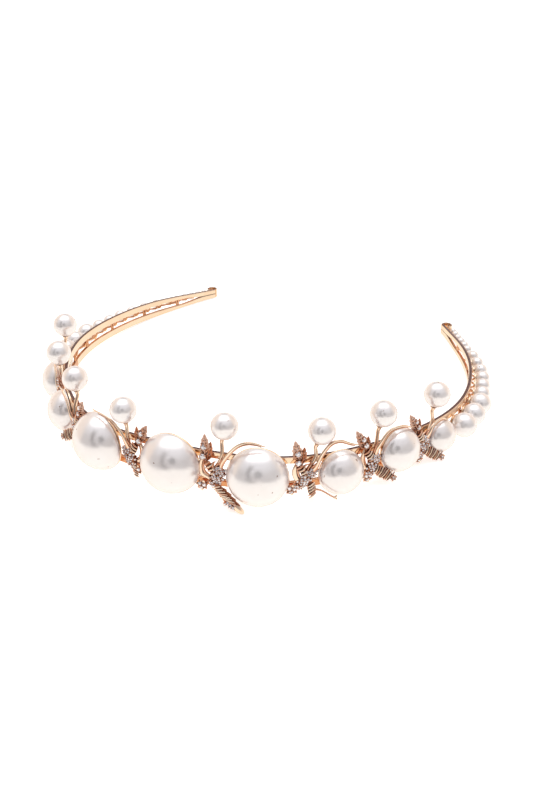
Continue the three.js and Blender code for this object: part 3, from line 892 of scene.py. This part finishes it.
def flower(metal, stones, centre, radius, petals, turn=0.3):
    """A small flower head: pointed petals round a few stones."""
    s, w, z = centre
    # the heart is painted shade, and every other petal a painted highlight
    metal.lay(mound((s, w - 0.3, z), radius * 0.7, 0.6, 14, 4), RECESS_SHADE)
    for k in range(petals):
        a = 2 * pi * (k + turn) / petals
        tip = (s + radius * cos(a), w + 0.25 + 0.25 * (k % 2), z + radius * sin(a))
        foot = (s + 0.2 * cos(a), w + 0.1, z + 0.2 * sin(a))
        petal = blade(foot, tip, radius * 0.62, 0.4, 0.3, 0, 0.15, steps=8, across=4)
        metal.lay(petal, (CAST, HIGHLIGHT)[k % 2])
    for k in range(3):
        a = 2 * pi * k / 3 + turn
        spot = (s + 0.42 * radius * cos(a), w + 0.65, z + 0.42 * radius * sin(a))
        set_stone(metal, stones, spot, radius * 0.3, (0.3 * cos(a), 1, 0.3 * sin(a)), 3, a)


# Where things stand on each sprig, in millimetres from its own place as (along, height): the top
# leaf's tip, its two stones with their radii, the ribbed leaf, the cluster, how far the cluster slants,
# the flower, and how far the leaf at the top leaf's side rises above the first stone.
SPRIG_TABLE = [
    ((-5.0, 12.2), [(-3.3, 8.2, 0.8), (-2.3, 5.8, 0.85)], (-0.6, 2.2), (0.5, -0.9), 0.3, (-1.7, -4.5), 1.6),
    ((-5.2, 12.1), [(-3.3, 8.2, 0.8), (-2.3, 5.8, 0.85)], (-0.8, 2.4), (1.7, 2.8), 0.15, (-1.7, -4.5), 1.6),
    ((-6.3, 11.0), [(-3.7, 8.1, 0.85), (-2.6, 5.6, 0.85)], (-0.7, 2.2), (0.8, -0.6), 0.3, (-1.5, -4.4), 1.6),
    ((-6.0, 11.1), [(-3.7, 8.1, 0.85), (-2.7, 5.4, 0.9)], (-0.6, 2.2), (1.0, -0.6), 0.25, (-1.4, -4.6), 1.6),
    ((-1.8, 12.2), [(-2.3, 8.2, 0.9), (-2.7, 5.0, 0.9)], (-0.65, 1.5), (1.4, -1.0), 0.3, (-3.2, -4.6), 1.6),
    ((-2.5, 11.4), [(-1.6, 7.4, 0.9), (-1.5, 4.4, 0.9)], (-0.2, 1.6), (0.6, -0.9), 0.75, (-3.4, -4.2), 1.6),
    ((-6.0, 11.6), [(-3.4, 8.4, 0.8), (-2.5, 6.2, 0.85)], (-1.2, 2.6), (0.0, -0.8), 0.35, (-1.7, -4.5), 0.3),
    ((-6.5, 11.6), [(-3.5, 8.6, 0.7), (-2.6, 6.4, 0.8)], (-1.2, 2.6), (0.2, -0.4), 0.3, (-1.5, -4.3), 0.3),
]


CLUSTER_ROWS = 9
CLUSTER_STEP = 0.74
CLUSTER_HALF_HEIGHT = 3.7
# every so many places, the cluster has a bead of metal where a stone would be
BEAD_EVERY, BEAD_FIRST = 6, 4
CLUSTER_CLAWS = 11


def on_hole(pearl, distance):
    """The point on a stalk pearl's drilled hole at a distance from its centre, in band coordinates."""
    arc, offset, height, tilt, _ = pearl
    lean = radians(tilt)
    inwards = copysign(sin(lean) * distance, arc)
    return np.array([arc - inwards, offset, height - cos(lean) * distance])


def top_leaf(metal, stones, at, out, tip, leaf_stones, side):
    """The pointed top leaf, mostly in a brown that is painted shade, with a darker one at its far side, also
    in painted shade, and stones up its middle.
    """
    w = SPRIG_PLANE
    ta, tz = tip
    first, second = leaf_stones
    base = at(second[0] * 0.8, w + 0.1, 4.6)
    feather(metal, base, at(ta, w + 0.9, tz + 0.4), 2.9, 5, 0.2, (SHADE_BROWN, CAST))
    edge = at(first[0] + 1.9, w + 0.1, first[1] + side)
    feather(metal, at(second[0] + 0.9, w - 0.2, 3.2), edge, 2.3, 4, 0.1, (RECESS_SHADE, SHADE_BROWN))
    for a, z, r in (first, second):
        set_stone(metal, stones, at(a, w + 1.2, z), r, (0.15 * out, 1, 0.12), 4, 0.2)
    for k, t in enumerate((0.4, 0.64)):
        a = first[0] + (ta - first[0]) * t
        set_stone(metal, stones, at(a, w + 1.1, first[1] + (tz - first[1]) * t), 0.42 - 0.12 * k)


def stem(metal, at, out, sx):
    """The flat curved stem, with a thinner one beside it. sx is where it starts along the band."""
    w = SPRIG_PLANE
    way = [at(sx, w + 0.3, 4.8), at(sx - 1.1, w + 0.6, 1.8), at(sx - 0.6, w + 0.7, -0.8),
           at(0.3 * sx - 0.2, w + 0.4, -2.4), at(0, w - 0.2, -4.4)]
    # the stem's light gold is a painted highlight
    metal.lay(tube(way, [0.45, 0.66, 0.72, 0.6, 0.45], 36, 14, 0.62), HIGHLIGHT)
    beside = [p + (out * 0.95, -0.3, 0.35) for p in way[:4]]
    metal.lay(tube(beside, [0.2, 0.36, 0.4, 0.3], 24, 10), CAST)


def ribbed_leaf(metal, at, out, place, slant):
    """The small ribbed leaf: its blade in painted shade, its ribs mostly in a painted highlight."""
    w = SPRIG_PLANE
    ra, rz = place
    angle = 38 if out > 0 else 142
    foot, tip = at(ra + 1.3, w + 0.3, rz - 2.1), at(ra - 1.3, w + 0.7, rz + 2.3)
    metal.lay(blade(foot, tip, 2.8 - slant, 0.5, 0.2, 0, 0.2, 18, 0.6), RECESS_SHADE)
    start, end = at(ra + 0.9, w + 0.95, rz - 1.5), at(ra - 0.9, w + 1.15, rz + 1.6)
    ribs(metal, start, end, 4, 2.5 - slant * 0.6, angle, 0.33, 10)


def cluster(metal, stones, at, out, place, slant):
    """The jewelled cluster: rows of small stones with beads of metal between them, and claws round it."""
    w = SPRIG_PLANE
    ca, cz = place
    for end, reach in ((1, 1.1), (-1, 1.4)):
        metal.lay(mound(at(ca + end * slant * reach, w + 0.2, cz + end * reach), 1.9, 1.15), CAST)
    k = 0
    for row in range(CLUSTER_ROWS):
        z = cz + CLUSTER_STEP * ((CLUSTER_ROWS - 1) / 2 - row)
        half = 1.85 * sqrt(max(1 - ((z - cz) / CLUSTER_HALF_HEIGHT) ** 2, 0.1))
        across = 4 + (row % 2)
        for col in range(across):
            k += 1
            x = (col - (across - 1) / 2) * (2 * half / 4) + jitter(k, 0.1)
            far = min(abs(x) / 2.2, 1)
            height = w + 0.5 + 1.2 * sqrt(1 - far * far) * (1 - 0.25 * abs(z - cz) / 3.6)
            axis = (out * x * 0.35 + jitter(3 * k, 0.25), 1.0, (z - cz) * 0.12 + 0.15 + jitter(5 * k, 0.3))
            spot = at(ca + x + slant * (z - cz), height, z + jitter(7 * k, 0.1))
            if k % BEAD_EVERY == BEAD_FIRST:
                metal.lay(moved(ball(0.26, 10, 7), spot), CAST)
            else:
                set_stone(metal, stones, spot, 0.4 + jitter(11 * k, 0.06), axis, 3, k)
    for k in range(CLUSTER_CLAWS):
        x = 2 * pi * (k + 0.4) / CLUSTER_CLAWS
        ring = np.array([1.95 * cos(x) + slant * 2.9 * sin(x), 2.9 * sin(x)])
        spot = at(ca + ring[0], w + 0.4, cz + ring[1])
        tip = at(ca + ring[0] * 1.28, w + 0.75, cz + ring[1] * 1.2)
        # every other claw is a painted highlight
        metal.lay(tube([spot, tip], [0.3, 0.15], 4, 7), (CAST, HIGHLIGHT)[k % 2])


def tendril(metal, at, out, path):
    """The tendril over the next pearl: a thinner strand under it, and a short one at its root."""
    reach, _ = path[0]
    way = [at(0.6 * reach, SPRIG_PLANE + 0.6, 0.8)]
    way += [at(a, SPRIG_PLANE + TENDRIL_OUT, z) for a, z in path]
    # the tendril's light gold is a painted highlight
    metal.lay(tube(way, [0.5, 0.47, 0.42, 0.34, 0.2], 90, 12, 0.9), HIGHLIGHT)
    under = [p + np.array([out * 0.1, 0.05, -0.5]) for p in way[:-1]]
    under.append(way[-2] * 0.3 + way[-1] * 0.7 + np.array([0, 0, -0.42]))
    metal.lay(tube(under, [0.36, 0.34, 0.3, 0.24, 0.1], 90, 10), CAST)
    root = [way[0] + (-out * 0.5, -0.3, 0.4), way[1] + (-out * 0.45, -0.3, 0.3)]
    root.append(way[1] * 0.55 + way[2] * 0.45)
    metal.lay(tube(root, [0.32, 0.3, 0.12], 40, 9), CAST)
    metal.lay(tube([way[-1], way[-1] + (out * 0.5, 0.1, 0.3)], [0.22, 0.1], 4, 8), HIGHLIGHT)


def stalk(metal, at, out, pearl):
    """The stalk, flared under its pearl, with short strands that splay at its root."""
    w = SPRIG_PLANE
    mouth = on_hole(pearl, STALK_PEARL_RADIUS)
    elbow = at(pearl[4], w, STALK_ELBOW_HEIGHT)
    way = [at(0.6, w + 0.4, 1), elbow, on_hole(pearl, STALK_PEARL_RADIUS + STALK_STRAIGHT), mouth,
           on_hole(pearl, STALK_PEARL_RADIUS - STALK_BORE_DEPTH + GAP)]
    # the stalk's and the collar's light gold is a painted highlight
    metal.lay(tube(way, [0.6, 0.58, 0.56, 0.56], 40, 14), HIGHLIGHT)
    for turn, reach in ((-0.7, 0.55), (0.75, 0.8)):
        strand = [at(0.5 + turn * 0.4, w + 0.7, 0.8), at(0.9 + turn, w + 0.6, 3.0)]
        strand.append(elbow * reach + strand[0] * (1 - reach) + np.array([out * turn * 0.9, 0.2, 0.4]))
        metal.lay(tube(strand, [0.42, 0.36, 0.14], 16, 8), CAST)
    collar = [(0, -1.0), (0.6, -1.0), (0.66, -0.5), (0.85, -0.2), (1.05, 0.02), (0.95, 0.1), (0, 0.02)]
    metal.lay(moved(lathe(collar, 24), mouth, on_hole(pearl, 0) - mouth), HIGHLIGHT)


def sprig(index):
    s0, foot_kind, path = SPRIGS[index]
    tip, leaf_stones, leaf_place, cluster_place, slant, (fa, fz), side = SPRIG_TABLE[index]
    out = copysign(1, s0)
    w = SPRIG_PLANE
    metal = Piece(f"sprig_{index + 1}_casting")
    stones = Piece(f"sprig_{index + 1}_stones")

    def at(a, offset, z):
        return np.array([s0 + out * a, offset, z])

    top_leaf(metal, stones, at, out, tip, leaf_stones, side)
    stem(metal, at, out, leaf_stones[1][0])
    ribbed_leaf(metal, at, out, leaf_place, slant)
    cluster(metal, stones, at, out, cluster_place, slant)
    # the flower low on the near side, on its own stem
    flower_stem = [at(-0.2, w, -2.6), at(fa * 0.6, w + 0.3, fz + 0.7), at(fa, w + 0.5, fz)]
    metal.lay(tube(flower_stem, [0.5, 0.4, 0.4], 10, 9))
    flower(metal, stones, at(fa, w + 0.7, fz), 1.9, 7)
    tendril(metal, at, out, path)
    stalk(metal, at, out, STALK_PEARLS[index])
    sprig_foot(metal, stones, foot_kind, at, out)
    # the cast gold, a painted-shade darker copper, a painted-highlight light gold and a painted-shade
    # greyish brown
    golds = [GILT_CAST, GILT_RECESS_SHADE, GILT_HIGHLIGHT, GILT_SHADE_BROWN]
    metal.build(golds, [f"sprig_{index + 1}"], 50)
    stones.build([CRYSTAL], sharp=0)


# stones beside the large leaf at the front sprig's foot: along, outwards, height, radius
CORNER_STONES = [
    (4.6, 7.2, -7.2, 0.44), (5.4, 7.0, -6.8, 0.5), (6.0, 7.4, -7.4, 0.52), (6.8, 7.4, -8.0, 0.5),
    (7.5, 7.3, -8.3, 0.48), (7.2, 7.2, -7.0, 0.46), (8.2, 7.4, -7.6, 0.46),
]


def sprig_foot(metal, stones, kind, at, out):
    """What hangs at the foot: a long leaf, a wire, a strip or a fan."""
    plane = SPRIG_PLANE + 0.6

    def slope(angle):
        return angle if out > 0 else 180 - angle

    # blades in the darker copper or the greyish brown are painted shade, and the light gold parts are
    # painted highlights
    if kind == "leaf":
        foot, tip = at(0.9, plane + 0.9, -3.4), at(9.8, plane + 5.6, -8.9)
        metal.lay(blade(foot, tip, 3.3, 0.6, 0.3, 6, 0.3, 48, 0.6), RECESS_SHADE)
        way = tip - foot
        start, end = foot + way * 0.06 + (0, 0.7, 0), foot + way * 0.6 + (0, 0.8, 0)
        ribs(metal, start, end, 8, 3.0, slope(8), 0.26, -34)
        for k, (a, w, z, size) in enumerate(CORNER_STONES):
            spot = at(a, w, z)
            metal.lay(moved(ball(0.55, 10, 7), spot + (0, -0.5, 0.1)), RECESS_SHADE)
            set_stone(metal, stones, spot, size, (jitter(k, 0.3), 1, 0.3 + jitter(3 * k, 0.3)), 3, k)
        near = foot + way * 0.7 + (0, 0.6, 0)
        metal.lay(blade(near, tip + (out * 0.1, 0.3, 0), 2.0, 0.6, 0.1, 0, 0.2, 20, 0.5), HIGHLIGHT)
        return
    if kind == "wire":
        path = [at(2.4, plane + 1.0, -4.4), at(3.8, plane + 2.5, -3.9), at(4.9, plane + 3.3, -4.3),
                at(6.3, plane + 4.1, -5.3), at(7.4, plane + 4.3, -6.1)]
        metal.lay(tube(path, [0.32, 0.28, 0.25, 0.24], 40, 10), CAST)
        end = path[-1]
        metal.lay(moved(ball(0.4, 16, 9), end), HIGHLIGHT)
        for rise in (-0.5, 0.45):
            metal.lay(tube([end, end + (out * 0.5, 0.1, rise)], [0.24, 0.3], 4, 8), HIGHLIGHT)
        foot, tip = at(2.0, plane + 0.2, -2.2), at(2.2, plane + 0.9, -6.6)
        metal.lay(blade(foot, tip, 2.4, 0.5, 0.2, 0, 0.2, 18, 0.7), RECESS_SHADE)
        way = tip - foot
        start, end = foot + way * 0.14 + (0, 0.6, 0), foot + way * 0.9 + (0, 0.65, 0)
        ribs(metal, start, end, 5, 2.4, slope(36), 0.28, 10)
        return
    if kind == "strip":
        foot, tip = at(-0.4, plane, -1.5), at(-1.5, plane + 0.6, -7.2)
        metal.lay(blade(foot, tip, 2.0, 0.6, 0.4, 8, 0.1, 60, 0.4), RECESS_SHADE)
        ribs(metal, at(-0.6, plane + 0.5, -2.6), at(-1.4, plane + 0.8, -6.6), 6, 1.9, slope(24), 0.22, 10)
        return
    foot, tip = at(0.8, plane + 0.3, -2.4), at(5.4, plane + 2.5, -5.6)
    metal.lay(blade(foot, tip, 3.3, 0.6, 0.35, 0, 0.35, 24, 0.9), CAST)
    way = tip - foot
    start, end = foot + way * 0.05 + (0, 0.55, 0), foot + way * 0.84 + (0, 0.65, 0)
    ribs(metal, start, end, 8, 3.4, slope(52), 0.27, -20, (HIGHLIGHT, CAST, HIGHLIGHT, SHADE_BROWN))
    flower(metal, stones, tip + np.array([0, 0.5, 0]), 1.2, 6, 0.1)


for number in range(len(SPRIGS)):
    sprig(number)

# ---------- ball pearls on the stalks ----------

for i, pearl in enumerate(STALK_PEARLS):
    r, bore = STALK_PEARL_RADIUS, STALK_BORE_RADIUS
    start = -acos(bore * 1.15 / r)
    bottom = -r + STALK_BORE_DEPTH
    profile = [(0, bottom), (bore, bottom), (bore, r * sin(start) + 0.12)]
    profile += [(r * cos(a), r * sin(a)) for a in np.linspace(start, pi / 2, 72)]
    profile[-1] = (0, r)
    middle, mouth = bend([on_hole(pearl, 0), on_hole(pearl, r)])
    piece = Piece(f"stalk_pearl_{i + 1}_nacre")
    piece.add(moved(lathe(profile, 96), middle, middle - mouth))
    piece.build([PEARL], [f"stalk_pearl_{i + 1}"])

# ---------- floor, light and camera ----------

# in metres, with the floor a hair below the tiara
FLOOR_HALF = 4.0
FLOOR_DROP = 5e-5
mesh = bpy.data.meshes.new("floor")
corners = [(x * FLOOR_HALF, y * FLOOR_HALF, -FLOOR_DROP) for x, y in ((-1, -1), (1, -1), (1, 1), (-1, 1))]
mesh.from_pydata(corners, [], [(0, 1, 2, 3)])
floor = put("floor", mesh)
paper, shader, links, noise, _, blend, _ = new_material("paper")
links.new(blend(noise(3), (0.93, 0.925, 0.92), (0.91, 0.905, 0.9)), shader.inputs["Base Color"])
give(shader, {"Roughness": 0.7, "Emission Color": (1, 0.985, 0.965, 1), "Emission Strength": 0.6})
mesh.materials.append(paper)
floor.visible_glossy = False

CAMERA_FROM_BAND = (0.126424, -0.287909, 0.169356)
CAMERA_TURN = (59.2938, 1.8373, 23.3441)
LENS = 45.07
SENSOR_WIDTH = 36
# which way the camera looks from, in degrees to the right of the tiara's front
CAMERA_SIDE = 24
camera_data = bpy.data.cameras.new("camera")
camera_data.lens = LENS
camera_data.sensor_width = SENSOR_WIDTH
camera_data.clip_start = 0.01
camera = put("camera", camera_data)
camera.location = np.array(CAMERA_FROM_BAND) + ORIGIN / 1000
camera.rotation_euler = [radians(a) for a in CAMERA_TURN]
bpy.context.scene.camera = camera


SOFTBOX = (1.9, 1.9, 1.95)
SOFTBOX_EDGE = (1.6, 1.6, 1.64)
SIDE_GLOW = (0.92, 0.74, 0.6)


def studio():
    """A light tent: grey above, a wide soft light overhead, darker behind and a dark gap in front."""
    world = bpy.data.worlds.new("studio")
    bpy.context.scene.world = world
    world.use_nodes = True
    nodes, links = world.node_tree.nodes, world.node_tree.links
    background = nodes["Background"]
    output = nodes["World Output"]
    place = nodes.new("ShaderNodeTexCoord")

    def lobe(direction, inner, outer):
        """1 inside inner degrees from the direction, 0 beyond outer degrees."""
        dot = nodes.new("ShaderNodeVectorMath")
        dot.operation = "DOT_PRODUCT"
        dot.inputs[1].default_value = tuple(unit(direction))
        links.new(place.outputs["Generated"], dot.inputs[0])
        ramp = nodes.new("ShaderNodeMapRange")
        ramp.interpolation_type = "SMOOTHSTEP"
        low, high = cos(radians(outer)), cos(radians(inner))
        give(ramp, {"From Min": low, "From Max": high})
        links.new(dot.outputs["Value"], ramp.inputs["Value"])
        return ramp.outputs["Result"]

    def arithmetic(operation, first, second):
        node = nodes.new("ShaderNodeMath")
        node.operation = operation
        for socket, value in enumerate((first, second)):
            if isinstance(value, (int, float)):
                node.inputs[socket].default_value = value
            else:
                links.new(value, node.inputs[socket])
        return node.outputs[0]

    def both(first, second):
        return arithmetic("MULTIPLY", first, second)

    def outside(factor):
        return arithmetic("SUBTRACT", 1, factor)

    def over(factor, below, colour):
        return mix(nodes, links, factor, below, colour)

    yaw = radians(CAMERA_SIDE)
    front = np.array([sin(yaw), -cos(yaw), 0])
    right = np.array([cos(yaw), sin(yaw), 0])

    def toward(elevation, swing=0.0):
        """Direction at an elevation on the camera's side, over the top to the far side past 90 degrees."""
        e = radians(elevation)
        return front * cos(e) + np.array([0, 0, sin(e)]) + right * tan(radians(swing))

    def around(swing, elevation):
        """Direction swung round from the camera's side by degrees, positive to the right."""
        a, e = radians(swing), radians(elevation)
        return (front * cos(a) + right * sin(a)) * cos(e) + np.array([0, 0, sin(e)])

    colour = over(lobe((0, 0, 1), 10, 75), (0.42, 0.385, 0.375), (0.85, 0.85, 0.9))
    # patches laid over one another: where, full inside and gone beyond which degrees, colour
    for way, full, gone, tint in (
        (toward(140), 30, 70, (0.86, 0.85, 0.86)),
        (toward(154), 4, 16, (0.3, 0.27, 0.27)),
        (toward(104, 14), 4, 32, SOFTBOX_EDGE),
        (toward(104, -14), 4, 32, SOFTBOX_EDGE),
        (toward(106), 4, 38, SOFTBOX),
        (around(-125, 8), 22, 50, SIDE_GLOW),
        (around(125, 8), 22, 50, SIDE_GLOW),
    ):
        colour = over(lobe(way, full, gone), colour, tint)
    outer = lobe(toward(30), 34, 50)
    inner = outside(lobe(toward(30), 20, 34))
    sideways = both(outer, both(inner, lobe(toward(8, -50), 40, 62)))
    colour = over(sideways, colour, (0.03, 0.015, 0.01))
    colour = over(lobe(toward(30), 5, 17), colour, (0.02, 0.015, 0.015))
    above = arithmetic("MAXIMUM", lobe(toward(84, -16), 73, 85), lobe(toward(84, 16), 73, 85))
    colour = over(outside(above), colour, (1.15, 1.09, 1.01))
    links.new(colour, background.inputs["Color"])
    seen = nodes.new("ShaderNodeBackground")
    seen.inputs["Color"].default_value = (0.97, 0.965, 0.96, 1)
    rays = nodes.new("ShaderNodeLightPath")
    choose = nodes.new("ShaderNodeMixShader")
    links.new(rays.outputs["Is Camera Ray"], choose.inputs[0])
    links.new(background.outputs[0], choose.inputs[1])
    links.new(seen.outputs[0], choose.inputs[2])
    links.new(choose.outputs[0], output.inputs["Surface"])


studio()

# metres and watts
LIGHT_SIZE = (0.9, 0.7)
LIGHT_HEIGHT = 0.9
LIGHT_POWER = 0.2
light_data = bpy.data.lights.new("softbox", "AREA")
light_data.shape = "RECTANGLE"
light_data.size, light_data.size_y = LIGHT_SIZE
light_data.energy = LIGHT_POWER
light = put("softbox", light_data)
light.location = (0, 0, LIGHT_HEIGHT)
light.visible_glossy = False

bpy.context.scene.view_settings.view_transform = "Standard"
